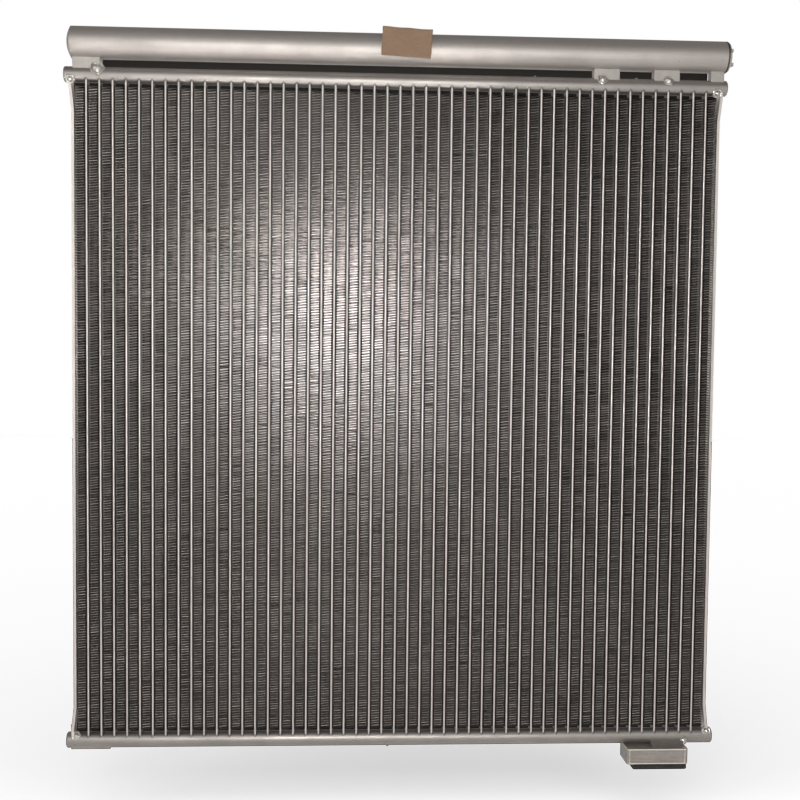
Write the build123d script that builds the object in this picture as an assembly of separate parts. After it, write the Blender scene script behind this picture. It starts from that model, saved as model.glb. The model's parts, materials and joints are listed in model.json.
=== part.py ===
from build123d import *
import os
from math import asin, cos, sin, sqrt

# Brazed aluminium parallel-flow cooler with a receiver along its top.
# X runs across the core, Y from front to back, Z up. X = 0 is the middle tube, Y = 0 the plane of
# the headers, and Z = 0 the underside of the dust cap, the lowest point. All sizes are in mm.

os.makedirs("parts", exist_ok=True)

# Core
tube_count = 49
tube_pitch = 12.0
tube_thickness = 2.0
channel_count = 8               # flow channels in each flat tube
channel_height = 1.2
channel_web = 0.35
tube_nose_wall = 0.9            # solid nose at the front and back of a tube
fin_length = 600.0
fin_legs = 126                  # a real strip has four times as many legs, each a quarter as thick
fin_sheet = 0.4
fin_setback = 0.2               # fins stop this far behind the tube noses
fin_bank_count = 5
bare_tube = 3.3                 # bare tube between the fins and a header
braze_gap = 0.05                # clearance left for braze between joined pieces
passes = [24, 11, 8, 6]         # tubes in each flow pass, from the left

# Headers
header_od = 14.4
header_wall = 1.2
header_end = 3.5                # header beyond the side plate
header_cap = 3.5                # visible thickness of an end cap
header_cap_bevel = 0.8
cap_spigot = 4.0
tube_side_clearance = 0.2       # header bore beyond each nose of a tube
tube_overrun = 0.3              # tube end beyond the point where its noses clear the header wall
baffle_thickness = 1.6
baffle_tongue = 6.0
baffle_stand = 0.4              # tongue beyond the outside of the header

# Side plates
plate_thickness = 2.5
plate_kick = 2.4                # how far the ends bend outward
plate_kick_length = 22.0

# Receiver
receiver_od = 29.4
receiver_wall = 1.6
receiver_gap = 7.1              # between the receiver and the upper header
receiver_setback = 3.2          # left end of the tube, short of the header's end
receiver_overhang = 1.0         # right end of the tube, beyond the header's end
dome_height = 4.3
dome_wall = 2.5

# Brackets and transfer blocks between the receiver and the upper header
bridge_depth = 10.6
bracket_left_width = 25.0
bracket_left_inset = 1.3        # from the receiver's left end
bracket_right_width = 12.5
transfer_width = 24.2
transfer_offset = 28.5          # from the baffle between them
transfer_bore = 7.0

# Service plug, neck ring and strainer
neck_lip = 1.5
neck_length = 21.5
neck_wall = 1.55                # ring outside its thread
neck_thread_length = 10.0
neck_step = 1.2                 # from the thread in to the sealed pilot bore
plug_clearance = 0.05
plug_head_inset = 1.2           # head's rim inside the receiver's outside
plug_head_rim = 1.6
plug_dome = 3.4
plug_lug_height = 1.8           # spanner lugs, above the top of the dome
plug_lug_width = 5.0
plug_lug_thickness = 3.0
plug_lug_radius = 6.5
plug_nose_inset = 4.5           # nose inside the strainer, which is snapped onto it
plug_snap = 0.8
plug_snap_length = 1.0
seal_section = 1.6
seal_clearance = 0.03
seal_inset = 3.0                # first seal ring, from the inner end of the pilot
seal_pitch = 5.0
strainer_room = 0.8             # between the strainer and the pilot bore
strainer_length = 58.0
strainer_ring = 4.0
strainer_wall = 1.5
strainer_rib = 2.4
strainer_rib_inset = 0.1        # ribs stop this far inside the end rings' outside
strainer_ribs = 4
strainer_end = 2.0
screen_wall = 0.6
screen_clearance = 0.05
bag_length = 210.0
bag_room = 1.2                  # between the bag and the receiver's bore
bag_end_radius = 7.0
bag_gap = 76.0                  # between the bag and the strainer

# Outlet block, its saddle and dust cap
cap_thickness = 6.0
block_width = 58.6
block_depth = 28.0
block_height = 14.4
block_front = 19.0              # front face, ahead of the headers' plane
block_end_gap = 23.7            # from the header's end to the block's right side
block_chamfer = 1.4
panel_side = 2.8                # borders round the recessed front panel
panel_edge = 1.0
panel_recess = 0.7
saddle_rise = 0.4               # block top below the underside of the header
saddle_width = 30.0
saddle_front = 15.0
saddle_back = 8.0
saddle_crown = 6.5
saddle_height = 4.6
port_bore = 14.2
port_depth = 10.0
port_seat_bore = 18.0           # seat for the pipe's seal ring
port_seat_depth = 2.2
passage_bore = 8.6
stud_bore = 6.8                 # tapping size of an M8 thread
stud_depth = 11.0
outlet_port_inset = 18.3        # port centre from the block's right side
outlet_port_y = -1.5
outlet_stud_inset = 13.8        # stud hole centre from the block's left side
dust_cap_left_inset = 6.15      # cap's left side from the block's
dust_cap_right_inset = 0.15
dust_cap_edge_inset = 2.0       # cap's front and back from the block's
dust_cap_wall = 1.6
dust_cap_corner = 2.0
cap_clearance = 0.05            # cap to block, and cap plugs to their holes
spigot_reach = 6.0              # into the port, past the seal seat
spigot_wall = 1.4
stud_plug_reach = 5.0

# Inlet block on the back of the lower header
inlet_width = 36.5
inlet_end_inset = 2.0           # block's left side, short of the end cap's outside
inlet_height = 23.3
inlet_below = 11.3              # block below the header's centre line
inlet_back = 24.0
inlet_seat_front = 3.0          # cradle between the block and the header
inlet_seat_low = 8.0
inlet_seat_high = 3.5
core_clearance = 0.5            # between the block and the back of the core
inlet_port_inset = 10.5         # port centre from the block's left side
inlet_stud_inset = 7.0          # stud hole centre from its right side

# Weld beads and paper tag
bridge_bead = 9.0
bridge_bead_rise = 4.8          # above the header's centre line
bridge_bead_shifts = [10.3, -4.2, 1.3]          # from the middle of each bridge, from the left
corner_bead = 8.0
corner_bead_drop = 5.2          # from the header's centre line, towards the core
corner_bead_shifts = [0.7, -2.9, -2.0, 1.3]     # beyond the side plate: upper two, then lower two
block_bead = 6.6
block_bead_drop = 3.9
block_bead_shift = 2.3          # beyond the saddle's right side
tag_width = 46.0
tag_height = 26.5
tag_sheet = 0.4
tag_x = 5.0
tag_rise = 3.6                  # tag centre above the receiver's centre line
tag_tilt = 3.0

# Places worked out from the sizes above
half_core = (tube_count - 1) / 2 * tube_pitch
fin_height = tube_pitch - tube_thickness
header_r = header_od / 2
header_bore_r = header_r - header_wall
tube_width = 2 * (header_bore_r - tube_side_clearance)
tube_end = sqrt(header_bore_r**2 - (tube_width / 2)**2) - tube_overrun
fin_depth = tube_width - 2 * fin_setback
plate_inner = half_core + tube_thickness / 2 + fin_height
plate_outer = plate_inner + plate_thickness
header_half = plate_outer + header_end
lower_z = cap_thickness + block_height + saddle_rise + header_r
fin_bottom = lower_z + header_r + bare_tube
fin_top = fin_bottom + fin_length
upper_z = fin_top + bare_tube + header_r
receiver_r = receiver_od / 2
receiver_bore_r = receiver_r - receiver_wall
neck_ring_r = receiver_bore_r - braze_gap
neck_thread_r = neck_ring_r - neck_wall
neck_pilot_r = neck_thread_r - neck_step
strainer_r = neck_pilot_r - strainer_room
receiver_z = upper_z + header_r + receiver_gap + receiver_r
receiver_left = -(header_half - receiver_setback)
receiver_right = header_half + receiver_overhang
block_top = cap_thickness + block_height
block_right = header_half - block_end_gap
block_left = block_right - block_width
outlet_port_x = block_right - outlet_port_inset
outlet_stud_x = block_left + outlet_stud_inset
inlet_left = -header_half - header_cap + inlet_end_inset
inlet_right = inlet_left + inlet_width
inlet_port_x = inlet_left + inlet_port_inset
inlet_stud_x = inlet_right - inlet_stud_inset


def tube_x(number):
    """X of tube 1 to tube_count, from the left."""
    return (number - 1) * tube_pitch - half_core


pass_ends = [sum(passes[:i + 1]) for i in range(len(passes))]
lower_baffles = [tube_x(pass_ends[0]) + tube_pitch / 2, tube_x(pass_ends[2]) + tube_pitch / 2]
upper_baffles = [tube_x(pass_ends[1]) + tube_pitch / 2, tube_x(pass_ends[2]) + tube_pitch / 2]
transfer_in_x = upper_baffles[1] - transfer_offset
transfer_out_x = upper_baffles[1] + transfer_offset


def rod_x(radius, left, right, z, y=0.0):
    """Solid cylinder along X."""
    return Pos((left + right) / 2, y, z) * Rot(0, 90, 0) * Cylinder(radius, right - left)


def rod_z(radius, low, high, x, y=0.0):
    """Solid cylinder along Z."""
    return Pos(x, y, (low + high) / 2) * Cylinder(radius, high - low)


def rod_y(radius, front, back, x, z):
    """Solid cylinder along Y."""
    return Pos(x, (front + back) / 2, z) * Rot(90, 0, 0) * Cylinder(radius, back - front)


def block(x, y, z):
    """Box between pairs of X, Y and Z limits."""
    size = [high - low for low, high in (x, y, z)]
    middle = [(low + high) / 2 for low, high in (x, y, z)]
    return Pos(*middle) * Box(*size)


def turned(points, x, z):
    """Solid turned about an axis along X through height z; points are (along X, radius)."""
    outline = make_face(Polyline(*points, close=True))
    return Pos(x, 0, z) * revolve(outline, Axis.X)


def largest(shape):
    """The largest solid of a shape."""
    return max(shape.solids(), key=lambda solid: solid.volume)


def dome_arc(base_x, radius, top_x):
    """Arc from a rim at base_x to the middle of a dome at top_x, both along the axis."""
    height = abs(top_x - base_x)
    sphere_r = (radius**2 + height**2) / (2 * height)
    half_angle = asin(radius / sphere_r) / 2
    sag = sphere_r * (1 - cos(half_angle))
    middle_x = top_x - sag if top_x > base_x else top_x + sag
    return ThreePointArc((base_x, radius), (middle_x, sphere_r * sin(half_angle)), (top_x, 0))


def save(node, *solids):
    """Write one node, keeping each piece a solid of its own."""
    pieces = [solid for shape in solids for solid in shape.solids()]
    export_step(pieces[0] if len(pieces) == 1 else Compound(children=pieces), f"parts/{node}.step")


def tube_slot(low, high, clearance=0.0):
    """Flat tube section with round noses, standing between two heights at X = 0."""
    section = SlotOverall(tube_width + 2 * clearance, tube_thickness + 2 * clearance, rotation=90)
    return Pos(0, 0, low) * extrude(section, high - low)


def flat_tube():
    """One multi-channel tube, reaching into both headers."""
    low = lower_z + tube_end
    high = upper_z - tube_end
    webs = (channel_count - 1) * channel_web
    channel_width = (tube_width - 2 * tube_nose_wall - webs) / channel_count
    channel = Rectangle(channel_height, channel_width)
    channels = GridLocations(0, channel_width + channel_web, 1, channel_count) * channel
    section = SlotOverall(tube_width, tube_thickness, rotation=90) - channels
    return Pos(0, 0, low) * extrude(section, high - low)


def fin_strip():
    """One corrugated strip: flat crests of fin_sheet height, joined by straight legs."""
    reach = fin_height / 2 - braze_gap
    leg = (fin_length - fin_sheet) / fin_legs
    notch = reach - fin_sheet * reach / leg
    right, left = [], []
    for crest in range(fin_legs + 1):
        z = fin_bottom + fin_sheet / 2 + crest * leg
        side = 1 if crest % 2 == 0 else -1
        outer, inner = (right, left) if side > 0 else (left, right)
        outer += [(side * reach, z - fin_sheet / 2), (side * reach, z + fin_sheet / 2)]
        inner.append((side * notch, z))
    outline = make_face(Polyline(*right, *reversed(left), close=True))
    return Pos(0, fin_depth / 2, 0) * extrude(Plane.XZ * outline, fin_depth)


def baffle(x, z, outward):
    """Disc that fills the header's bore, with a tongue through the wall away from the tubes."""
    disc = rod_x(header_bore_r - braze_gap, x - baffle_thickness / 2, x + baffle_thickness / 2, z)
    tip = z + outward * (header_r + baffle_stand)
    across = (x - baffle_thickness / 2, x + baffle_thickness / 2)
    tongue = block(across, (-baffle_tongue / 2, baffle_tongue / 2), sorted((z, tip)))
    return disc + tongue


def baffle_slot(x, z, outward):
    """Room for a baffle's tongue in the header's wall."""
    half = baffle_thickness / 2 + braze_gap
    tip = z + outward * (header_r + 1)
    reach = baffle_tongue / 2 + braze_gap
    return block((x - half, x + half), (-reach, reach), sorted((z, tip)))


def header(z, inward, baffles, holes):
    """Round tube with a slot for each flat tube on its inward side."""
    body = rod_x(header_r, -header_half, header_half, z)
    body -= rod_x(header_bore_r, -header_half, header_half, z)
    low, high = sorted((z + inward * (tube_end - tube_overrun), z + inward * (header_r + 1)))
    slot = tube_slot(low, high, braze_gap)
    body -= [Pos(tube_x(n), 0, 0) * slot for n in range(1, tube_count + 1)]
    body -= [baffle_slot(x, z, -inward) for x in baffles]
    return body - holes


def header_end_cap(z, side):
    """Plug in the header's end with a bevelled flange outside."""
    spigot_r = header_bore_r - braze_gap
    points = [(-cap_spigot, 0), (-cap_spigot, spigot_r), (braze_gap, spigot_r), (braze_gap, header_r),
              (header_cap - header_cap_bevel, header_r), (header_cap, header_r - header_cap_bevel),
              (header_cap, 0)]
    points = [(side * along, radius) for along, radius in points]
    return turned(points, side * header_half, z)


def side_plate(side):
    """Flat strip beside the outer fins; both ends kick outward and sit on the headers."""
    near, far = lower_z, upper_z
    low, high = fin_bottom + plate_kick_length, fin_top - plate_kick_length
    inner = [(plate_inner + plate_kick, near), (plate_inner + plate_kick, fin_bottom),
             (plate_inner, low), (plate_inner, high),
             (plate_inner + plate_kick, fin_top), (plate_inner + plate_kick, far)]
    outer = [(x + plate_thickness, z) for x, z in reversed(inner)]
    outline = make_face(Polyline(*[(side * x, z) for x, z in inner + outer], close=True))
    plate = Pos(0, tube_width / 2, 0) * extrude(Plane.XZ * outline, tube_width)
    return largest(plate - header_room(lower_z) - header_room(upper_z))


def header_room(z):
    """Space a header and its end caps take, with room for braze."""
    reach = header_half + header_cap + 1
    return rod_x(header_r + braze_gap, -reach, reach, z)


def receiver_room():
    """Space the receiver takes, with room for braze."""
    return rod_x(receiver_r + braze_gap, receiver_left, receiver_right, receiver_z)


def bridge(x, width):
    """Upright block that joins the upper header to the receiver and is shaped to both."""
    across = (x - width / 2, x + width / 2)
    body = block(across, (-bridge_depth / 2, bridge_depth / 2), (upper_z, receiver_z))
    return largest(body - header_room(upper_z) - receiver_room())


def transfer_passages():
    """The two passages between the upper header's bore and the receiver's."""
    return [rod_z(transfer_bore / 2, upper_z, receiver_z, x) for x in (transfer_in_x, transfer_out_x)]


def transfer_block(x):
    """Bridge with a passage through it."""
    return bridge(x, transfer_width) - transfer_passages()


def receiver_tube():
    """Plain tube with a hole over each transfer block."""
    body = rod_x(receiver_r, receiver_left, receiver_right, receiver_z)
    body -= rod_x(receiver_bore_r, receiver_left, receiver_right, receiver_z)
    return body - transfer_passages()


def receiver_left_cap():
    """Domed cup that closes the receiver's left end, with a spigot inside the tube."""
    spigot_r = receiver_bore_r - braze_gap
    inner_r = spigot_r - dome_wall
    wall = Polyline((-dome_height, 0), (-dome_height + dome_wall, 0), (0, inner_r),
                    (cap_spigot, inner_r), (cap_spigot, spigot_r), (-braze_gap, spigot_r),
                    (-braze_gap, receiver_r))
    outline = make_face(wall + dome_arc(-braze_gap, receiver_r, -dome_height))
    return Pos(receiver_left, 0, receiver_z) * revolve(outline, Axis.X)


neck_face = receiver_right + neck_lip
neck_inner = receiver_right - neck_length


def neck_ring():
    """Threaded ring in the receiver's right end, with a lip against the end of the tube."""
    step = neck_face - neck_thread_length
    points = [(neck_inner, neck_pilot_r), (neck_inner, neck_ring_r),
              (receiver_right + braze_gap, neck_ring_r), (receiver_right + braze_gap, receiver_r),
              (neck_face, receiver_r), (neck_face, neck_thread_r), (step, neck_thread_r),
              (step, neck_pilot_r)]
    return turned(points, 0, receiver_z)


plug_pilot_r = neck_pilot_r - plug_clearance
plug_nose_r = strainer_r - plug_nose_inset
seal_major_r = neck_pilot_r - seal_clearance - seal_section / 2
seal_places = [neck_inner + seal_inset, neck_inner + seal_inset + seal_pitch]


def service_plug():
    """Screw plug: domed head with two spanner lugs, thread, sealed pilot and snap nose."""
    thread_r = neck_thread_r - plug_clearance
    head_r = receiver_r - plug_head_inset
    nose_end = neck_inner - strainer_ring - 2 * plug_clearance
    snap_end = nose_end - plug_snap_length
    step = neck_face - neck_thread_length + plug_clearance
    rim = neck_face + plug_clearance + plug_head_rim
    top = rim + plug_dome
    side = Polyline((top, 0), (snap_end, 0), (snap_end, plug_nose_r),
                    (nose_end, plug_nose_r + plug_snap), (nose_end, plug_nose_r),
                    (neck_inner, plug_nose_r), (neck_inner, plug_pilot_r), (step, plug_pilot_r),
                    (step, thread_r), (neck_face + plug_clearance, thread_r),
                    (neck_face + plug_clearance, head_r), (rim, head_r))
    body = revolve(make_face(side + dome_arc(rim, head_r, top)), Axis.X)
    groove_r = seal_major_r - seal_section / 2 - seal_clearance
    half = seal_section / 2 + seal_clearance
    for x in seal_places:
        ring = rod_x(neck_pilot_r, x - half, x + half, 0)
        body -= ring - rod_x(groove_r, x - half, x + half, 0)
    reach = plug_lug_thickness / 2
    for z in (-plug_lug_radius, plug_lug_radius):
        body += block((rim, top + plug_lug_height), (-plug_lug_width / 2, plug_lug_width / 2),
                      (z - reach, z + reach))
    return Pos(0, 0, receiver_z) * body


def seal_rings():
    """Two O-rings in the plug's grooves."""
    ring = Rot(0, 90, 0) * Torus(seal_major_r, seal_section / 2)
    return [Pos(x, 0, receiver_z) * ring for x in seal_places]


strainer_right = neck_inner - plug_clearance
strainer_left = strainer_right - strainer_length


def strainer_cage():
    """Moulded cage: a ring on the plug's nose, ribs, and a closed end."""
    ring = rod_x(strainer_r, strainer_right - strainer_ring, strainer_right, 0)
    ring -= rod_x(plug_nose_r + plug_clearance, strainer_left, strainer_right, 0)
    body = ring + rod_x(strainer_r, strainer_left, strainer_left + strainer_end, 0)
    rib = block((strainer_left, strainer_right), (-strainer_rib / 2, strainer_rib / 2),
                (strainer_r - strainer_wall, strainer_r - strainer_rib_inset))
    body += [Rot(360 / strainer_ribs * n, 0, 0) * rib for n in range(strainer_ribs)]
    return Pos(0, 0, receiver_z) * body


def strainer_screen():
    """Fine screen sleeve inside the ribs of the cage."""
    outer_r = strainer_r - strainer_wall - screen_clearance
    left = strainer_left + strainer_end + screen_clearance
    right = strainer_right - strainer_ring - screen_clearance
    sleeve = rod_x(outer_r, left, right, receiver_z)
    return sleeve - rod_x(outer_r - screen_wall, left, right, receiver_z)


def desiccant_bag():
    """Filled bag lying on the bottom of the receiver, with round ends."""
    radius = receiver_bore_r - bag_room
    z = receiver_z - bag_room + 2 * braze_gap
    right = strainer_left - bag_gap
    body = rod_x(radius, right - bag_length, right, z)
    return fillet(body.edges().filter_by(GeomType.CIRCLE), min(bag_end_radius, 0.9 * radius))


def port(seat_face, inward, place):
    """Stepped port: seal seat, pipe bore and passage, cut along Y or Z from its mouth."""
    seat_end = seat_face + inward * port_seat_depth
    bore_end = seat_end + inward * port_depth
    return (place(port_seat_bore / 2, *sorted((seat_face, seat_end)))
            + place(port_bore / 2, *sorted((seat_end, bore_end))))


def outlet_passage():
    """Hole from the lower header's bore down into the outlet port."""
    return rod_z(passage_bore / 2, cap_thickness + port_depth, lower_z, outlet_port_x, outlet_port_y)


def inlet_passage():
    """Hole from the lower header's bore back into the inlet port."""
    return rod_y(passage_bore / 2, 0, inlet_back - port_depth, inlet_port_x, lower_z)


def outlet_block():
    """Machined block under the lower header: port and stud hole below, shallow panel in front."""
    depth = (-block_front, block_depth - block_front)
    body = block((block_left, block_right), depth, (cap_thickness, block_top))
    body = chamfer(body.edges().filter_by(Axis.Z), block_chamfer)
    panel = (block_left + panel_side, block_right - panel_side)
    body -= block(panel, (-block_front, panel_recess - block_front),
                  (cap_thickness + panel_edge, block_top - panel_edge))
    body -= port(cap_thickness, 1, lambda r, a, b: rod_z(r, a, b, outlet_port_x, outlet_port_y))
    body -= rod_z(stud_bore / 2, cap_thickness, cap_thickness + stud_depth, outlet_stud_x, outlet_port_y)
    return body - outlet_passage() - header_room(lower_z)


def outlet_saddle():
    """Wedge that carries the block on the header, with the outlet passage through it."""
    profile = Polyline((-saddle_front, block_top), (-saddle_crown, block_top + saddle_height),
                       (saddle_crown, block_top + saddle_height), (saddle_back, block_top), close=True)
    wedge = extrude(Plane.YZ * make_face(profile), saddle_width)
    wedge = Pos(outlet_port_x - saddle_width / 2, 0, 0) * wedge
    return largest(wedge - header_room(lower_z) - outlet_passage())


def outlet_dust_cap():
    """Moulded tray below the block, with a hollow plug in the port and a pin in the stud hole."""
    x = (block_left + dust_cap_left_inset, block_right - dust_cap_right_inset)
    y = (dust_cap_edge_inset - block_front, block_depth - block_front - dust_cap_edge_inset)
    top = cap_thickness - cap_clearance
    body = block(x, y, (0, top))
    body = fillet(body.edges().filter_by(Axis.Z), dust_cap_corner)
    wall = dust_cap_wall
    body -= block((x[0] + wall, x[1] - wall), (y[0] + wall, y[1] - wall), (wall, top))
    spigot_r = port_bore / 2 - cap_clearance
    spigot_top = cap_thickness + port_seat_depth + spigot_reach
    body += rod_z(spigot_r, wall, spigot_top, outlet_port_x, outlet_port_y)
    body -= rod_z(spigot_r - spigot_wall, wall, spigot_top, outlet_port_x, outlet_port_y)
    pin_top = cap_thickness + stud_plug_reach
    return body + rod_z(stud_bore / 2 - cap_clearance, wall, pin_top, outlet_stud_x, outlet_port_y)


def inlet_block():
    """Block on the back of the lower header, with its port and stud hole facing back."""
    across = (inlet_left, inlet_right)
    low = lower_z - inlet_below
    behind = tube_width / 2 + core_clearance
    body = block(across, (behind, inlet_back), (low, low + inlet_height))
    body += block(across, (inlet_seat_front, behind), (lower_z - inlet_seat_low, lower_z + inlet_seat_high))
    body -= port(inlet_back, -1, lambda r, a, b: rod_y(r, a, b, inlet_port_x, lower_z))
    body -= rod_y(stud_bore / 2, inlet_back - stud_depth, inlet_back, inlet_stud_x, lower_z)
    return largest(body - inlet_passage() - header_room(lower_z))


def bead(diameter, x, z, header_z, joined):
    """Round weld bead on the front of a header, shaped to the header and what it joins."""
    y = -sqrt(header_r**2 - (z - header_z)**2)
    return largest(Pos(x, y, z) * Sphere(diameter / 2) - header_room(header_z) - joined)


def paper_tag():
    """Bare paper tag, tangent to the front of the receiver and turned a little."""
    y = -(receiver_r + braze_gap + tag_sheet / 2)
    sheet = Rot(0, tag_tilt, 0) * Box(tag_width, tag_sheet, tag_height)
    return Pos(tag_x, y, receiver_z + tag_rise) * sheet


# Headers, end caps and baffles
save("upper_header", header(upper_z, -1, upper_baffles, transfer_passages()))
save("lower_header", header(lower_z, 1, lower_baffles, [outlet_passage(), inlet_passage()]))
headers = [("upper", upper_z, upper_baffles, 1), ("lower", lower_z, lower_baffles, -1)]
for name, z, baffles, outward in headers:
    save(f"{name}_header_cap_left", header_end_cap(z, -1))
    save(f"{name}_header_cap_right", header_end_cap(z, 1))
    for number, x in enumerate(baffles, 1):
        save(f"{name}_baffle_{number}", baffle(x, z, outward))

# Tubes, one node for each flow pass
tube = flat_tube()
first = 1
for number, count in enumerate(passes, 1):
    save(f"tubes_pass_{number}", *[Pos(tube_x(n), 0, 0) * tube for n in range(first, first + count)])
    first += count

# Fins: a strip between each two tubes, and one outside each outer tube
strip = fin_strip()
rows = tube_count + 1
for bank in range(fin_bank_count):
    numbers = range(rows * bank // fin_bank_count, rows * (bank + 1) // fin_bank_count)
    save(f"fin_bank_{bank + 1}", *[Pos(tube_x(n) + tube_pitch / 2, 0, 0) * strip for n in numbers])

# Side plates, brackets and transfer blocks
plate_left, plate_right = side_plate(-1), side_plate(1)
bracket_left_x = receiver_left + bracket_left_inset + bracket_left_width / 2
bracket_right_x = header_half - bracket_right_width / 2
bracket_left = bridge(bracket_left_x, bracket_left_width)
transfer_in, transfer_out = transfer_block(transfer_in_x), transfer_block(transfer_out_x)
save("side_plate_left", plate_left)
save("side_plate_right", plate_right)
save("bracket_left", bracket_left)
save("bracket_right", bridge(bracket_right_x, bracket_right_width))
save("transfer_block_in", transfer_in)
save("transfer_block_out", transfer_out)

# Receiver and what it holds
save("receiver_tube", receiver_tube())
save("receiver_cap_left", receiver_left_cap())
save("neck_ring", neck_ring())
save("service_plug", service_plug())
save("plug_seal_rings", *seal_rings())
save("strainer_cage", strainer_cage())
save("strainer_screen", strainer_screen())
save("desiccant_bag", desiccant_bag())

# Ports
save("outlet_block", outlet_block())
saddle = outlet_saddle()
save("outlet_saddle", saddle)
save("outlet_dust_cap", outlet_dust_cap())
save("inlet_block", inlet_block())

# Weld beads and tag
bridges = [(bracket_left_x, bracket_left), (transfer_in_x, transfer_in), (transfer_out_x, transfer_out)]
save("bridge_weld_beads", *[bead(bridge_bead, x + shift, upper_z + bridge_bead_rise, upper_z, joined)
                            for (x, joined), shift in zip(bridges, bridge_bead_shifts)])
corners = [(-1, -1, upper_z, plate_left), (1, -1, upper_z, plate_right),
           (-1, 1, lower_z, plate_left), (1, 1, lower_z, plate_right)]
save("corner_weld_beads", *[
    bead(corner_bead, side * (plate_outer + shift), z + up * corner_bead_drop, z, plate)
    for (side, up, z, plate), shift in zip(corners, corner_bead_shifts)])
save("block_weld_bead", bead(block_bead, outlet_port_x + saddle_width / 2 + block_bead_shift,
                             lower_z - block_bead_drop, lower_z, saddle))
save("paper_tag", paper_tag())
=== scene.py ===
import json
import math
import bpy
import numpy as np
from mathutils import Euler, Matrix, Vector


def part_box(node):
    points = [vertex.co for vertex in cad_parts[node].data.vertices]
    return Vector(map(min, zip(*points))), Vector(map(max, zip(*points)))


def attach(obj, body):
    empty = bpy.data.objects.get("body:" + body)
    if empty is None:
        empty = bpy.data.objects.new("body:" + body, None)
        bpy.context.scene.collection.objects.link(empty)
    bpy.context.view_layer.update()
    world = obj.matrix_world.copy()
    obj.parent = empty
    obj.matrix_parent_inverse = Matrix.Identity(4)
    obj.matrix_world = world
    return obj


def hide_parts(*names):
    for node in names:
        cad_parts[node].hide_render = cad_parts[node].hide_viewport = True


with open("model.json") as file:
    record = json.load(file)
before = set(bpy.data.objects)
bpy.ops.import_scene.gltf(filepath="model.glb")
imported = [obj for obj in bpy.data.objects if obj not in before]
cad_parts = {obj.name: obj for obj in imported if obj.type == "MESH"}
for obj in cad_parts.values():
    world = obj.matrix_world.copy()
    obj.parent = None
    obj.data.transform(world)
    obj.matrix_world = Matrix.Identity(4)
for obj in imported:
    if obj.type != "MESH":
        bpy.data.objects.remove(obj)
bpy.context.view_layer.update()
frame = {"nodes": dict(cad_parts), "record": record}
MM = 0.001

# ---------------------------------------------------------------- camera
CAMERA_PLACE = Vector((-0.0604, -1.131, 0.4146))
CAMERA_TURN = (86.838, -0.604, -3.167)
CAMERA_LENS = 54.0

camera_data = bpy.data.cameras.new("camera")
camera_data.lens = CAMERA_LENS
camera_data.sensor_width = 36.0
camera = bpy.data.objects.new("camera", camera_data)
camera.location = CAMERA_PLACE
camera.rotation_euler = Euler([math.radians(angle) for angle in CAMERA_TURN], "XYZ")
bpy.context.scene.collection.objects.link(camera)
bpy.context.scene.camera = camera
bpy.context.scene.view_settings.view_transform = "Standard"

# ---------------------------------------------------------------- sizes read from the frame
TUBE_COUNT = 49
TUBE_THICKNESS = 2.0 * MM
first_tubes_low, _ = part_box("tubes_pass_1")
_, last_tubes_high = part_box("tubes_pass_4")
HALF_CORE = (last_tubes_high.x - first_tubes_low.x - TUBE_THICKNESS) / 2
TUBE_PITCH = 2 * HALF_CORE / (TUBE_COUNT - 1)
TUBE_HALF_WIDTH = last_tubes_high.y
fins_low, fins_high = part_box("fin_bank_1")
FIN_BOTTOM, FIN_TOP = fins_low.z, fins_high.z
FIN_HALF_DEPTH = fins_high.y
upper_low, upper_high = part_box("upper_header")
_, lower_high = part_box("lower_header")
HEADER_R = (upper_high.y - upper_low.y) / 2
UPPER_Z = upper_low.z + HEADER_R
LOWER_Z = lower_high.z - HEADER_R
receiver_low, receiver_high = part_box("receiver_tube")
RECEIVER_R = (receiver_high.z - receiver_low.z) / 2
RECEIVER_Z = (receiver_high.z + receiver_low.z) / 2


# ---------------------------------------------------------------- node helpers
class NodeTree:
    """A node tree, with short ways to add nodes and links."""

    def __init__(self, tree):
        self.tree = tree

    def add(self, kind, inputs=None, **settings):
        """A node of this kind; inputs maps a socket's name or number to a value or another socket."""
        node = self.tree.nodes.new(kind)
        for name, value in settings.items():
            setattr(node, name, value)
        for name, value in (inputs or {}).items():
            self.set(node, name, value)
        return node

    def set(self, node, name, value):
        """Link a socket into a node's input, or give the input a constant value."""
        if isinstance(value, bpy.types.NodeSocket):
            self.tree.links.new(value, node.inputs[name])
        else:
            node.inputs[name].default_value = value

    def maths(self, operation, a, b=0.0):
        """One operation on one or two numbers."""
        return self.add("ShaderNodeMath", {0: a, 1: b}, operation=operation).outputs[0]

    def fade(self, value, zero, one, kind="LINEAR"):
        """0 to 1 as a value runs from the place of the zero to the place of the one."""
        inputs = {"Value": value, "From Min": zero, "From Max": one}
        return self.add("ShaderNodeMapRange", inputs, interpolation_type=kind).outputs[0]

    def split(self, vector):
        """The three parts of a vector."""
        return self.add("ShaderNodeSeparateXYZ", {0: vector}).outputs

    def ramp(self, factor, stops):
        """A colour ramp; stops are (position, colour or grey level)."""
        node = self.add("ShaderNodeValToRGB", {"Fac": factor})
        elements = node.color_ramp.elements
        while len(elements) < len(stops):
            elements.new(0.5)
        for element, (position, colour) in zip(elements, stops):
            element.position = position
            colour = (colour,) * 3 if isinstance(colour, (int, float)) else colour
            element.color = (*colour, 1)
        return node.outputs[0]

    def mix(self, factor, a, b):
        """From colour a at 0 to colour b at 1; a mix node's colour sockets are 6, 7 and, out, 2."""
        node = self.add("ShaderNodeMix", {0: factor}, data_type="RGBA")
        for socket, value in ((6, a), (7, b)):
            self.set(node, socket, (*value, 1) if isinstance(value, tuple) else value)
        return node.outputs[2]


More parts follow.
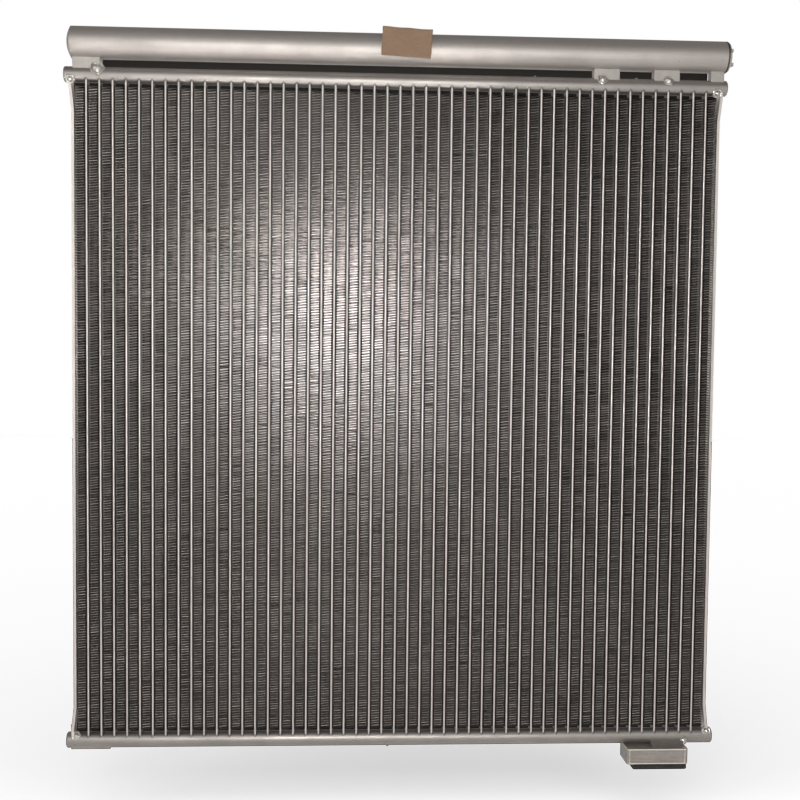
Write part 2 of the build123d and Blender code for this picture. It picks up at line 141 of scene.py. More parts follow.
class Nodes(NodeTree):
    """A material's node tree."""

    def __init__(self, name):
        self.material = bpy.data.materials.new(name)
        self.material.use_nodes = True
        super().__init__(self.material.node_tree)
        self.shader = self.tree.nodes["Principled BSDF"]

    def place(self, scale=(1, 1, 1)):
        """Coordinates on the object in metres, stretched along some axes."""
        where = self.add("ShaderNodeTexCoord").outputs["Object"]
        return self.add("ShaderNodeMapping", {"Vector": where, "Scale": scale}).outputs[0]

    def noise(self, scale, detail, roughness, stretch=(1, 1, 1)):
        """Noise fixed to the object; a stretch under 1 draws it out into streaks along that axis."""
        inputs = {"Vector": self.place(stretch), "Scale": scale, "Detail": detail, "Roughness": roughness}
        return self.add("ShaderNodeTexNoise", inputs).outputs[0]

    def bump(self, height, distance, strength, normal=None):
        """A normal bent by a height, on top of another bump's normal where one is given."""
        inputs = {"Height": height, "Distance": distance, "Strength": strength}
        if normal is not None:
            inputs["Normal"] = normal
        return self.add("ShaderNodeBump", inputs).outputs[0]

    def finish(self, colour, roughness, metallic=0.0, normal=None):
        """The material, once its shader has these values or sockets."""
        self.set(self.shader, "Base Color", (*colour, 1) if isinstance(colour, tuple) else colour)
        self.set(self.shader, "Roughness", roughness)
        self.shader.inputs["Metallic"].default_value = metallic
        if normal is not None:
            self.set(self.shader, "Normal", normal)
        return self.material


FULLY_BRIGHT = 0.4              # share of a bright edge's width that is fully bright, as rubbed metal and painted highlight


def along_edges(n, low, high, width):
    """1 along the edges of an upright box, where handling rubs metal bright and a highlight is painted, and
    0 elsewhere.
    """
    close, inside = [], []
    for place, start, end in zip(n.split(n.place()), low, high):
        off = n.maths("ABSOLUTE", n.maths("SUBTRACT", place, (start + end) / 2))
        past = n.maths("SUBTRACT", off, (end - start) / 2)
        close.append(n.fade(n.maths("ABSOLUTE", past), width, width * FULLY_BRIGHT))
        inside.append(n.fade(past, width, width * FULLY_BRIGHT))
    total = 0.0
    for first, second, third in ((0, 1, 2), (1, 2, 0), (2, 0, 1)):
        corner = n.maths("MULTIPLY", close[first], close[second])
        total = n.maths("MAXIMUM", n.maths("MULTIPLY", corner, inside[third]), total)
    return total


def shade(colour, amount):
    """The colour made lighter or darker by a factor."""
    return tuple(channel * amount for channel in colour)


# ---------------------------------------------------------------- materials
MOTTLE = 0.12                   # how far soft mottling takes brazed metal from its own colour
FLANK_SHADE_FACING = (0.8, 0.98)      # how far a face looks along X where painted shade starts, and where it is full


def brazed_aluminium(name, colour, roughness, streak=(1, 1, 1), fleck=0.5, flank_shade=1.0):
    """Matt brazed aluminium: soft mottling, streaks along one axis, pale flux flecks and fine grain.

    The last argument darkens the faces that look along X: painted shade on the tubes' sides, deep in the
    channels between the fins.
    """
    n = Nodes(name)
    cloud = n.noise(26, 5, 0.6)
    streaks = n.noise(140, 3, 0.6, streak)
    base = n.ramp(cloud, [(0.3, shade(colour, 1 - MOTTLE)), (0.7, shade(colour, 1 + MOTTLE))])
    base = n.mix(0.35, base, n.ramp(streaks, [(0.35, shade(colour, 0.82)), (0.65, shade(colour, 1.15))]))
    flecks = n.ramp(n.noise(900, 2, 0.5), [(0.64, 0.0), (0.72, fleck)])
    base = n.mix(flecks, base, shade(colour, 1.45))
    specks = n.ramp(n.noise(210, 3, 0.65), [(0.26, 0.55), (0.31, 0.0)])
    base = n.mix(specks, base, shade(colour, 0.5))
    # painted shade: faces that look along X are darkened as though lying in the channels' shade
    if flank_shade < 1:
        facing = n.split(n.add("ShaderNodeNewGeometry").outputs["Normal"])[0]
        painted_shade = n.fade(n.maths("ABSOLUTE", facing), *FLANK_SHADE_FACING)
        base = n.mix(painted_shade, base, shade(colour, flank_shade))
    uneven = n.ramp(cloud, [(0.3, roughness + 0.06), (0.7, roughness - 0.06)])
    grain = n.bump(n.noise(2600, 2, 0.6), 0.03 * MM, 0.5)
    return n.finish(base, uneven, 0.9, n.bump(streaks, 0.06 * MM, 0.35, grain))


WARM = (1.0, 0.935, 0.89)
HEADER_COLOUR = shade(WARM, 0.37)
RECEIVER_COLOUR = shade(WARM, 0.49)
TUBE_COLOUR = shade(WARM, 0.70)
# painted shade: the fin sheet is coloured far darker than its cut edges, standing for the shade deep in the
# core
FIN_SHADED_COLOUR = (0.11, 0.094, 0.084)
FIN_EDGE_COLOUR = (0.62, 0.57, 0.535)
BLOCK_COLOUR = (0.40, 0.365, 0.34)

ALONG_X, ALONG_Z = (0.05, 1, 1), (1, 1, 0.04)       # directions in which rolling and drawing leave streaks
header_metal = brazed_aluminium("header aluminium", HEADER_COLOUR, 0.46, ALONG_X)
receiver_metal = brazed_aluminium("receiver aluminium", RECEIVER_COLOUR, 0.54, (0.02, 1, 1), fleck=0.25)
# the tubes' sides that look along X are darkened here as painted shade
tube_metal = brazed_aluminium("tube aluminium", TUBE_COLOUR, 0.45, ALONG_Z, fleck=0.7, flank_shade=0.2)
plate_metal = brazed_aluminium("side plate aluminium", TUBE_COLOUR, 0.42, ALONG_Z, fleck=0.4)
bracket_metal = brazed_aluminium("bracket aluminium", shade(WARM, 0.48), 0.55)
plug_metal = brazed_aluminium("turned aluminium", shade(WARM, 0.50), 0.36, fleck=0.1)

FIN_SHADE_FROM, FIN_SHADE_FULL = 2.8 * MM, 1.2 * MM       # from a fin's end to where painted shade starts darkening it, and where the shade is full
PANEL_SIDE, PANEL_EDGE = 2.8 * MM, 1.0 * MM     # borders round the panel in the outlet block's front
EDGE_BRIGHT, PANEL_BRIGHT = 0.9 * MM, 0.6 * MM        # widths painted bright along its edges and the panel's, as rubbed metal and painted highlight


def fin_metal(name, colour, roughness):
    """Thin rolled sheet with a slightly uneven surface, darkened with painted shade near the headers, where
    they shadow it.
    """
    n = Nodes(name)
    base = n.ramp(n.noise(60, 3, 0.6), [(0.3, shade(colour, 0.8)), (0.7, shade(colour, 1.2))])
    middle = (FIN_BOTTOM + FIN_TOP) / 2
    end = FIN_TOP - middle
    # painted shade: the fins darken towards the headers, where the bare tube ends lie in shadow
    from_middle = n.maths("ABSOLUTE", n.maths("SUBTRACT", n.split(n.place())[2], middle))
    painted_shade = n.fade(from_middle, end - FIN_SHADE_FROM, end - FIN_SHADE_FULL)
    return n.finish(n.mix(painted_shade, base, shade(colour, 0.15)), roughness, 1.0)


def machined_metal():
    """Sawn and milled block: fine grooves along X, a cloudy tarnish, and edges painted bright, partly as
    rubbed metal and partly as a painted highlight.
    """
    n = Nodes("machined aluminium")
    grooves = n.noise(700, 2, 0.7, (0.06, 1, 1))
    cloud = n.noise(90, 5, 0.65)
    base = n.ramp(cloud, [(0.3, shade(BLOCK_COLOUR, 0.86)), (0.7, shade(BLOCK_COLOUR, 1.14))])
    grooved = n.ramp(grooves, [(0.35, shade(BLOCK_COLOUR, 0.7)), (0.65, shade(BLOCK_COLOUR, 1.25))])
    low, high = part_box("outlet_block")
    border = Vector((PANEL_SIDE, 0, PANEL_EDGE))
    rubbed_and_highlit = n.maths("MAXIMUM", along_edges(n, low, high, EDGE_BRIGHT),
                     along_edges(n, low + border, high - border, PANEL_BRIGHT))
    # painted highlight and rubbed metal: the edges are painted far brighter than the block
    base = n.mix(rubbed_and_highlit, n.mix(0.3, base, grooved), shade(BLOCK_COLOUR, 2.4))
    return n.finish(base, n.ramp(cloud, [(0.3, 0.5), (0.7, 0.4)]), 0.9, n.bump(grooves, 0.05 * MM, 0.6))


def weld_metal():
    """Bright weld metal with fine ripples."""
    n = Nodes("weld metal")
    ripple = n.noise(420, 3, 0.6)
    base = n.ramp(ripple, [(0.3, (0.52, 0.50, 0.47)), (0.7, (0.78, 0.76, 0.73))])
    return n.finish(base, 0.3, 1.0, n.bump(ripple, 0.1 * MM, 0.4))


def cap_rubber():
    """Dull black rubber, dusty in places."""
    n = Nodes("dust cap rubber")
    dust = n.noise(300, 4, 0.6)
    base = n.ramp(dust, [(0.45, (0.012, 0.011, 0.010)), (0.75, (0.05, 0.046, 0.042))])
    grain = n.bump(n.noise(1200, 3, 0.6), 0.08 * MM, 0.4)
    return n.finish(base, n.ramp(dust, [(0.4, 0.45), (0.7, 0.7)]), normal=grain)


def tag_paper():
    """Brown kraft paper with fibres."""
    n = Nodes("tag paper")
    fibres = n.noise(900, 4, 0.7, (0.25, 1, 1))
    cloud = n.noise(60, 3, 0.5)
    base = n.ramp(fibres, [(0.35, (0.185, 0.121, 0.078)), (0.65, (0.24, 0.158, 0.104))])
    base = n.mix(0.3, base, n.ramp(cloud, [(0.3, (0.18, 0.117, 0.076)), (0.7, (0.25, 0.168, 0.113))]))
    return n.finish(base, 0.85, normal=n.bump(fibres, 0.05 * MM, 0.5))


def plain(name, low, high, roughness, scale=500, metallic=0.0):
    """Two close colours in a fine pattern."""
    n = Nodes(name)
    pattern = n.noise(scale, 3, 0.6)
    base = n.ramp(pattern, [(0.35, low), (0.65, high)])
    return n.finish(base, roughness, metallic, n.bump(pattern, 0.04 * MM, 0.4))


# the fin sheet gets the dark colour that paints the core's inner shade; its cut edges keep the metal's
# lighter colour
fin_sheet_in_shade = fin_metal("fin aluminium painted dark as shade", FIN_SHADED_COLOUR, 0.42)
fin_edge = fin_metal("fin edge aluminium", FIN_EDGE_COLOUR, 0.33)
block_metal = machined_metal()
weld = weld_metal()
# painted shade: the braze collars are coloured dark, as in the shade between the headers and the fins
braze_in_painted_shade = brazed_aluminium("braze_in_painted_shade", shade(WARM, 0.2), 0.5, fleck=0.6)
# painted shadow: the neck ring is coloured near black as the dark line where the receiver meets its plug
neck_shadow_line = brazed_aluminium("neck ring painted dark as a shadow line", shade(WARM, 0.1), 0.6, fleck=0.1)
rubber = cap_rubber()
paper = tag_paper()
seal = plain("seal rubber", (0.012, 0.02, 0.014), (0.02, 0.035, 0.024), 0.4)
cage_plastic = plain("strainer plastic", (0.72, 0.71, 0.66), (0.80, 0.79, 0.74), 0.5)
screen_mesh = plain("screen", (0.25, 0.25, 0.24), (0.65, 0.65, 0.63), 0.35, 4000, 1.0)
felt = plain("bag felt", (0.62, 0.60, 0.54), (0.78, 0.76, 0.70), 0.95, 800)

NODE_MATERIALS = {
    header_metal: ["upper_header", "lower_header", "upper_header_cap_left", "upper_header_cap_right",
                   "lower_header_cap_left", "lower_header_cap_right", "upper_baffle_1", "upper_baffle_2",
                   "lower_baffle_1", "lower_baffle_2"],
    tube_metal: ["tubes_pass_1", "tubes_pass_2", "tubes_pass_3", "tubes_pass_4"],
    plate_metal: ["side_plate_left", "side_plate_right"],
    bracket_metal: ["bracket_left", "bracket_right", "transfer_block_in", "transfer_block_out"],
    receiver_metal: ["receiver_tube", "receiver_cap_left"],
    neck_shadow_line: ["neck_ring"],
    plug_metal: ["service_plug"],
    block_metal: ["outlet_block", "outlet_saddle", "inlet_block"],
    weld: ["bridge_weld_beads", "corner_weld_beads", "block_weld_bead"],
    seal: ["plug_seal_rings"],
    cage_plastic: ["strainer_cage"],
    screen_mesh: ["strainer_screen"],
    felt: ["desiccant_bag"],
    rubber: ["outlet_dust_cap"],
    paper: ["paper_tag"],
}
for material, names in NODE_MATERIALS.items():
    for name in names:
        mesh = frame["nodes"][name].data
        mesh.materials.clear()
        mesh.materials.append(material)


def put_in(name, mesh, material, body="core"):
    """A new piece with this mesh, which rides a body."""
    mesh.materials.append(material)
    piece = bpy.data.objects.new(name, mesh)
    bpy.context.scene.collection.objects.link(piece)
    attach(piece, body)
    return piece


def flat_piece(name, points, faces, material):
    """A piece from arrays of points and of faces with equal numbers of corners."""
    corners = faces.shape[1]
    mesh = bpy.data.meshes.new(name)
    mesh.vertices.add(len(points))
    mesh.vertices.foreach_set("co", points.astype(np.float32).ravel())
    mesh.loops.add(faces.size)
    mesh.loops.foreach_set("vertex_index", faces.astype(np.int32).ravel())
    mesh.polygons.add(len(faces))
    mesh.polygons.foreach_set("loop_start", np.arange(0, faces.size, corners, dtype=np.int32))
    mesh.update(calc_edges=True)
    return put_in(name, mesh, material)


# ---------------------------------------------------------------- fins
FIN_LEGS = 504
FIN_REACH = (TUBE_PITCH - TUBE_THICKNESS) / 2 - 0.05 * MM
FIN_CREST = 0.25 * MM           # height of the flat between two legs, against a tube
LOUVRE_REACH = 3.7 * MM         # half a louvre's length, across the channel
LOUVRE_WIDTH = 1.25 * MM
LOUVRE_TILT = math.radians(27)
LOUVRES_EACH_HALF = 3
LOUVRE_SPREAD = 0.25            # how much the louvres' tilt varies, as a share
FIN_MARGIN = 1.0 * MM           # flat strip at a leg's front and back, without louvres
FIN_EDGE = 0.28 * MM            # height of a leg's cut edge, with its burr
HIDDEN_BURR = 0.12              # share of the burr that shows on each second leg, where it is turned under
DRIFTS = ((0.30 * MM, 9), (0.22 * MM, 17), (0.12 * MM, 41))     # waves in the crests' heights: size, count
DRIFT_JITTER = 0.06 * MM
UV_SLANT = 0.03                 # gives faces seen edge-on from the front some width


def leg_quads():
    """One leg's quads as (x share, y, lift): x share from -1 to 1 across the channel, lift above its line.

    The last two are the leg's cut edges, front and back.
    """
    d, reach = FIN_HALF_DEPTH, LOUVRE_REACH / FIN_REACH
    flats = [(-1, -reach, -d, d), (reach, 1, -d, d),
             (-reach, reach, -d, -d + FIN_MARGIN), (-reach, reach, d - FIN_MARGIN, d)]
    inner = d - FIN_MARGIN - LOUVRES_EACH_HALF * LOUVRE_WIDTH
    flats.append((-reach, reach, -inner, inner))
    quads = [[(a, y0, 0), (b, y0, 0), (b, y1, 0), (a, y1, 0)] for a, b, y0, y1 in flats]
    half_y = LOUVRE_WIDTH / 2 * math.cos(LOUVRE_TILT)
    half_z = LOUVRE_WIDTH / 2 * math.sin(LOUVRE_TILT)
    for side in (-1, 1):
        for number in range(LOUVRES_EACH_HALF):
            y = side * (inner + (number + 0.5) * LOUVRE_WIDTH)
            near, far = (y - half_y, -side * half_z), (y + half_y, side * half_z)
            quads.append([(-reach, *near), (reach, *near), (reach, *far), (-reach, *far)])
    for y, rise in ((-d, FIN_EDGE), (d, -FIN_EDGE)):
        quads.append([(-reach, y, 0), (reach, y, 0), (reach, y, rise), (-reach, y, rise)])
    return np.array(quads)


def crest_heights(rng):
    """Heights of a strip's crests: even, but for the slow drift and the jitter that rolling leaves."""
    along = np.arange(FIN_LEGS + 1) / FIN_LEGS
    drift = np.zeros(FIN_LEGS + 1)
    for size, waves in DRIFTS:
        drift += size * np.sin(2 * math.pi * (waves * rng.uniform(0.8, 1.2) * along + rng.uniform()))
    drift += rng.uniform(-1, 1, FIN_LEGS + 1) * DRIFT_JITTER
    drift *= np.sin(math.pi * along) ** 0.5
    return FIN_BOTTOM + along * (FIN_TOP - FIN_BOTTOM) + drift


def fin_bank(number, rows, rng):
    """A bank of louvred strips, one between each two tubes: zigzag legs, joined by flat crests."""
    quads = leg_quads()
    cut_edges = np.arange(len(quads)) >= len(quads) - 2
    legs = np.arange(FIN_LEGS)
    points, is_edge = [], []
    for row in rows:
        middle = -HALF_CORE + (row - 0.5) * TUBE_PITCH
        crest_z = crest_heights(rng)
        low = crest_z[:-1] + np.where(legs > 0, FIN_CREST / 2, 0)
        high = crest_z[1:] - np.where(legs < FIN_LEGS - 1, FIN_CREST / 2, 0)
        side = np.where(legs % 2 == 0, 1, -1)[:, None, None]
        x = quads[None, :, :, 0] * FIN_REACH * side
        rise = (quads[None, :, :, 0] + 1) / 2
        bend = 1 + rng.normal(0, LOUVRE_SPREAD, (FIN_LEGS, len(quads), 1))
        bend[1::2, -2:] *= HIDDEN_BURR
        z = low[:, None, None] + rise * (high - low)[:, None, None] + quads[None, :, :, 2] * bend
        y = np.broadcast_to(quads[None, :, :, 1], x.shape)
        leg = np.stack([x + middle, y, z], -1).reshape(-1, 3)
        crest_side = side[:-1, 0, 0] * FIN_REACH + middle
        a, b = high[:-1], low[1:]
        d = np.full_like(a, FIN_HALF_DEPTH)
        crest = np.stack([np.stack([crest_side, -d, a], -1), np.stack([crest_side, d, a], -1),
                          np.stack([crest_side, d, b], -1), np.stack([crest_side, -d, b], -1)], 1)
        points += [leg, crest.reshape(-1, 3)]
        is_edge += [np.tile(cut_edges, FIN_LEGS), np.zeros(len(a), bool)]
    points = np.concatenate(points)
    faces = np.arange(len(points)).reshape(-1, 4)
    piece = flat_piece(f"louvred_fins_{number}", points, faces, fin_sheet_in_shade)
    piece.data.materials.append(fin_edge)
    piece.data.polygons.foreach_set("material_index", np.concatenate(is_edge).astype(np.int32))
    uv = piece.data.uv_layers.new(name="OFBake")
    flat = points[:, [0, 2]] + points[:, [1]] * UV_SLANT
    low, high = flat.min(0), flat.max(0)
    uv.data.foreach_set("uv", ((flat - low) / (high - low)).astype(np.float32).ravel())
    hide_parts(f"fin_bank_{number}")


rng = np.random.default_rng(7)
FIN_BANKS = 5
ROWS = TUBE_COUNT + 1
for bank in range(FIN_BANKS):
    fin_bank(bank + 1, range(ROWS * bank // FIN_BANKS, ROWS * (bank + 1) // FIN_BANKS), rng)


# ---------------------------------------------------------------- braze, beads, tag and dust cap
def loft(rings, close_start=False, close_end=False):
    """Points and faces of a skin over rings of equal length; an end is closed with a fan."""
    rings = np.array(rings)
    count = rings.shape[1]
    points = rings.reshape(-1, 3)
    here = np.arange(count)
    after = np.roll(here, -1)
    faces = [np.stack([here, after, after + count, here + count], -1) + ring * count
             for ring in range(len(rings) - 1)]
    ends = [(0, after, here)] * close_start + [(len(rings) - 1, here, after)] * close_end
    for ring, first, second in ends:
        middle = len(points)
        points = np.concatenate([points, rings[ring].mean(0)[None]])
        fan = np.stack([first + ring * count, second + ring * count, np.full(count, middle)], -1)
        faces.append(np.concatenate([fan, fan[:, 2:]], 1))
    return points, np.concatenate(faces)


def joined(parts):
    """One set of points and faces from several."""
    points, faces, start = [], [], 0
    for some_points, some_faces in parts:
        points.append(some_points)
        faces.append(some_faces + start)
        start += len(some_points)
    return np.concatenate(points), np.concatenate(faces)


def smooth_piece(name, parts, material, body="core"):
    """A piece with smooth faces, from points and faces; a face that names a corner twice is a triangle."""
    points, faces = joined(parts)
    mesh = bpy.data.meshes.new(name)
    mesh.from_pydata(points.tolist(), [], [list(dict.fromkeys(face)) for face in faces.tolist()])
    mesh.polygons.foreach_set("use_smooth", [True] * len(mesh.polygons))
    mesh.update()
    return put_in(name, mesh, material, body)


NOSE_POINTS = 9                 # points round a flat tube's rounded edge


def tube_outline():
    """Points round a flat tube and the outward direction at each, in plan."""
    flat = TUBE_HALF_WIDTH - TUBE_THICKNESS / 2
    turns = np.linspace(0, math.pi, NOSE_POINTS)
    side = np.linspace(-flat, flat, 7)[1:-1]
    back = np.stack([np.cos(turns), np.sin(turns)], -1)
    left = np.stack([-np.ones_like(side), np.zeros_like(side)], -1)
    outward = np.concatenate([back, left, -back, -left])
    along = np.concatenate([np.full(NOSE_POINTS, flat), side[::-1], np.full(NOSE_POINTS, -flat), side])
    points = outward * TUBE_THICKNESS / 2
    points[:, 1] += along
    return points, outward


# a collar's outline: mm out from the tube, and up from the header
COLLAR_STEPS = [(0.0, 1.2), (0.12, 0.65), (0.4, 0.3), (0.8, 0.1), (1.25, -0.15)]
COLLAR_NOSE = 0.75              # the collar's spread at a tube's noses, next to its sides
COLLAR_SPREAD = 0.22


def braze_collars(name, axis_z, away, rng):
    """A small flared collar of braze where each tube enters a header, coloured dark as painted shade; away
    is +1 or -1 along Z.
    """
    outline, outward = tube_outline()
    collars = []
    for number in range(TUBE_COUNT):
        x = number * TUBE_PITCH - HALF_CORE
        wobble = 1 + COLLAR_SPREAD * (rng.uniform(-1, 1) + rng.uniform(-0.5, 0.5, len(outline)))
        rings = []
        for out, up in COLLAR_STEPS:
            reach = out * MM * wobble
            px = outline[:, 0] + outward[:, 0] * reach
            py = outline[:, 1] + outward[:, 1] * reach * COLLAR_NOSE
            surface = np.sqrt(np.maximum(HEADER_R**2 - py**2, 0))
            rings.append(np.stack([px + x, py, axis_z + away * (surface + up * MM * wobble)], -1))
        collars.append(loft(rings[::-1] if away > 0 else rings))
    return smooth_piece(name, collars, braze_in_painted_shade)


def lumps_of(node, reach=12 * MM):
    """Lowest and highest corner of each separate lump of a CAD node."""
    points = np.array([v.co for v in frame["nodes"][node].data.vertices])
    lumps = []
    while len(points):
        near = np.linalg.norm(points - points[0], axis=1) < reach
        lumps.append((points[near].min(0), points[near].max(0)))
        points = points[~near]
    return lumps


# a bead's outline as shares of its radius: distance from its axis, and height above the header
BEAD_OUTLINE = [(1.14, -0.35), (1.12, 0.12), (1.06, 0.32), (0.96, 0.42), (0.84, 0.38), (0.76, 0.30),
                (0.68, 0.38), (0.56, 0.58), (0.38, 0.72), (0.18, 0.79)]
BEAD_TURNS = 28


def weld_beads(name, node, radius, rng, left_size=1.0):
    """Lumpy beads in place of a node's round ones, each with a ring pressed round its crown.

    left_size makes those in the left half larger.
    """
    beads = []
    turns = np.arange(BEAD_TURNS) * 2 * math.pi / BEAD_TURNS
    for low, high in lumps_of(node):
        header_z = UPPER_Z if low[2] > (LOWER_Z + UPPER_Z) / 2 else LOWER_Z
        y = low[1] + radius
        rise = math.copysign(math.sqrt(HEADER_R**2 - y**2), low[2] + high[2] - 2 * header_z)
        foot = Vector(((low[0] + high[0]) / 2, y, header_z + rise))
        out = Vector((0, -1, 0.35 * math.copysign(1, rise))).normalized()
        side = Vector((1, 0, 0))
        up = out.cross(side)
        lump = 1 + sum(rng.uniform(0.02, 0.06) * np.cos(waves * turns + rng.uniform(0, 2 * math.pi))
                       for waves in (2, 3, 5))
        rings = []
        for distance, height in BEAD_OUTLINE:
            ripple = 1 + 0.04 * np.cos(7 * turns + 9 * distance + rng.uniform(0, 0.5))
            across = radius * distance * lump * (left_size if foot.x < 0 else 1)
            ring = (np.outer(across * np.cos(turns), side) + np.outer(across * np.sin(turns), up)
                    + np.outer(radius * height * ripple, out))
            rings.append(np.array(foot) + ring)
        beads.append(loft(rings, close_end=True))
    piece = smooth_piece(name, beads, weld)
    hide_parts(node)


TAG_SIZE = (46 * MM, 26.5 * MM)
TAG_TILT = math.radians(3.0)
TAG_CURL = 0.7 * MM
TAG_SHEET = 0.35 * MM
TAG_ACROSS, TAG_UP = 33, 21     # points in the paper's grid


def curled_tag():
    """Paper tag whose corners lift a little from the receiver."""
    low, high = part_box("paper_tag")
    middle = (low + high) / 2
    half_x, half_z = TAG_SIZE[0] / 2, TAG_SIZE[1] / 2
    u, v = np.meshgrid(np.linspace(-1, 1, TAG_ACROSS), np.linspace(-1, 1, TAG_UP))
    # the corners curl, the upper ones more, and the whole sheet is a little wavy
    lift = TAG_CURL * (np.abs(u) ** 3 * (0.55 + 0.45 * v) + 0.3 * np.maximum(v, 0) ** 4)
    lift += 0.12 * MM * np.sin(3.1 * u + 1.7 * v) + 0.05 * MM * np.sin(11 * u * v + 2)
    x = u * half_x * (1 + 0.006 * np.sin(9 * v))
    z = v * half_z * (0.99 + 0.010 * np.sin(7 * u + 1))
    points = np.stack([middle.x + x * math.cos(TAG_TILT) + z * math.sin(TAG_TILT), low.y - lift,
                       middle.z - x * math.sin(TAG_TILT) + z * math.cos(TAG_TILT)], -1).reshape(-1, 3)
    corner = (np.arange(TAG_UP - 1)[:, None] * TAG_ACROSS + np.arange(TAG_ACROSS - 1)).ravel()
    faces = np.stack([corner, corner + 1, corner + TAG_ACROSS + 1, corner + TAG_ACROSS], -1)
    piece = smooth_piece("curled_tag", [(points, faces)], paper)
    sheet = piece.modifiers.new("thickness", "SOLIDIFY")
    sheet.thickness = TAG_SHEET
    sheet.offset = -1
    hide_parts("paper_tag")


CAP_CORNER, CAP_LEAST_CORNER = 2.2 * MM, 0.3 * MM      # corner radius, outside and where it is inset most
CAP_TURNS = 15                  # points round each corner
CAP_SIDE_POINTS = 10            # points along each side, between the corners
CAP_TOP = 5.95                  # mm up, where the waves in the cap's sides die out
# the cap's skin from the middle of its underside, up its outside and down its inside: mm up, and in
CAP_LEVELS = [(0.0, 2.6), (0.06, 1.1), (0.45, 0.35), (1.2, 0.05), (2.1, 0.0), (2.6, 0.35),
              (2.9, 0.75), (3.2, 0.7), (3.5, 0.25), (4.0, 0.05), (5.1, 0.0), (5.65, 0.2),
              (5.9, 0.65), (5.9, 1.2), (5.5, 1.6), (1.9, 1.8), (1.6, 2.4)]
CAP_WAVE = 0.22 * MM            # how far the cap's soft sides wander
CAP_PINCH = 20                  # how far they are drawn in, for each metre from the middle
CAP_FLOOR = 1.6 * MM            # from the cap's underside to the foot of its plug and pin
PORT_PLUG_R, PORT_PLUG_BORE_R = 7.05 * MM, 5.65 * MM
STUD_PIN_R, STUD_PIN_DROP = 3.35 * MM, 3.2 * MM     # the pin ends this far below the plug's top
POST_TURNS = 40


def rounded_rectangle(x_range, y_range, inset):
    """Points round a rectangle with round corners, inset by the same amount all round."""
    (x0, x1), (y0, y1) = x_range, y_range
    radius = max(CAP_CORNER - inset, CAP_LEAST_CORNER)
    turns = np.linspace(0, math.pi / 2, CAP_TURNS)
    arcs = []
    for number, (x, y, way_x, way_y) in enumerate([(x1, y1, 1, 1), (x0, y1, -1, 1),
                                                   (x0, y0, -1, -1), (x1, y0, 1, -1)]):
        angle = turns + number * math.pi / 2
        centre_x, centre_y = x - way_x * (inset + radius), y - way_y * (inset + radius)
        arcs.append(np.stack([centre_x + radius * np.cos(angle), centre_y + radius * np.sin(angle)], -1))
    steps = np.linspace(0, 1, CAP_SIDE_POINTS + 2)[1:-1, None]
    points = []
    for arc, following in zip(arcs, arcs[1:] + arcs[:1]):
        points += [arc, arc[-1] + (following[0] - arc[-1]) * steps]
    return np.concatenate(points)


def hollow_post(x, y, outer, inner, low, high):
    """Skin of a round post with a hole down its middle, or of a solid one where inner is 0."""
    turns = np.arange(POST_TURNS) * 2 * math.pi / POST_TURNS
    levels = [(outer, low), (outer, high - 0.3 * MM), (outer - 0.3 * MM, high)]
    if inner:
        levels += [(inner + 0.2 * MM, high), (inner, high - 0.2 * MM), (inner, low)]
    rings = [np.stack([x + r * np.cos(turns), y + r * np.sin(turns), np.full(POST_TURNS, z)], -1)
             for r, z in levels]
    return loft(rings, close_end=not inner)


def moulded_cap(rng):
    """Soft rubber cap: a wavy groove round it, a hollow plug for the port, a pin for the stud hole."""
    low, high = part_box("outlet_dust_cap")
    middle = np.array([(low.x + high.x) / 2, (low.y + high.y) / 2])
    phases = rng.uniform(0, 2 * math.pi, 4)
    rings = []
    for up, inset in CAP_LEVELS:
        ring = rounded_rectangle((low.x, high.x), (low.y, high.y), inset * MM)
        angle = np.arctan2(*(ring - middle).T[::-1])
        sway = CAP_WAVE * math.sin(math.pi * up / CAP_TOP)
        wave = (np.sin(5 * angle + phases[0]) + 0.6 * np.sin(9 * angle + phases[1])
                + 0.4 * np.sin(17 * angle + phases[2]))
        pinch = CAP_PINCH * sway * (1 + np.sin(7 * angle + phases[3]))
        inward = (middle - ring) * pinch[:, None]
        z = low.z + up * MM + sway * wave
        rings.append(np.column_stack([ring + inward, z]))
    skin = loft(rings, close_start=True, close_end=True)
    floor_z = low.z + CAP_FLOOR
    port = hollow_post(OUTLET_PORT.x, OUTLET_PORT.y, PORT_PLUG_R, PORT_PLUG_BORE_R, floor_z, high.z)
    pin = hollow_post(OUTLET_STUD.x, OUTLET_STUD.y, STUD_PIN_R, 0, floor_z, high.z - STUD_PIN_DROP)
    piece = smooth_piece("moulded_dust_cap", [skin, port, pin], rubber, "dust_cap")
    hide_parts("outlet_dust_cap")


BAG_TURNS = 48
BAG_RINGS = 71
BAG_GATHER = 16 * MM            # length over which an end is drawn together
BAG_MOUTH, BAG_SWELL = 0.16, 0.78       # shares of the radius: left at a sewn end, and gained behind it


def sewn_bag():
    """Felt bag of drying beads: a slightly lumpy sleeve, gathered and sewn shut at both ends."""
    low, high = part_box("desiccant_bag")
    radius = (high.z - low.z) / 2
    turns = np.arange(BAG_TURNS) * 2 * math.pi / BAG_TURNS
    rings = []
    for share in np.linspace(0, 1, BAG_RINGS):
        from_end = min(share, 1 - share) * (high.x - low.x)
        close = min(from_end / BAG_GATHER, 1)
        girth = radius * (BAG_MOUTH + BAG_SWELL * math.sqrt(1 - (1 - close) ** 2))
        folds = (1 - close) * 0.10 * np.cos(9 * turns)
        lumps = close * 0.03 * (np.sin(23 * share + 2 * turns) + np.sin(61 * share - 3 * turns))
        spread = girth * (1 + folds + lumps)
        x = low.x + share * (high.x - low.x)
        rings.append(np.stack([np.full(BAG_TURNS, x), (low.y + high.y) / 2 + spread * np.cos(turns),
                               (low.z + high.z) / 2 + spread * np.sin(turns)], -1))
    skin = loft(rings, close_start=True, close_end=True)
    piece = smooth_piece("sewn_desiccant_bag", [skin], felt)
    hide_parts("desiccant_bag")


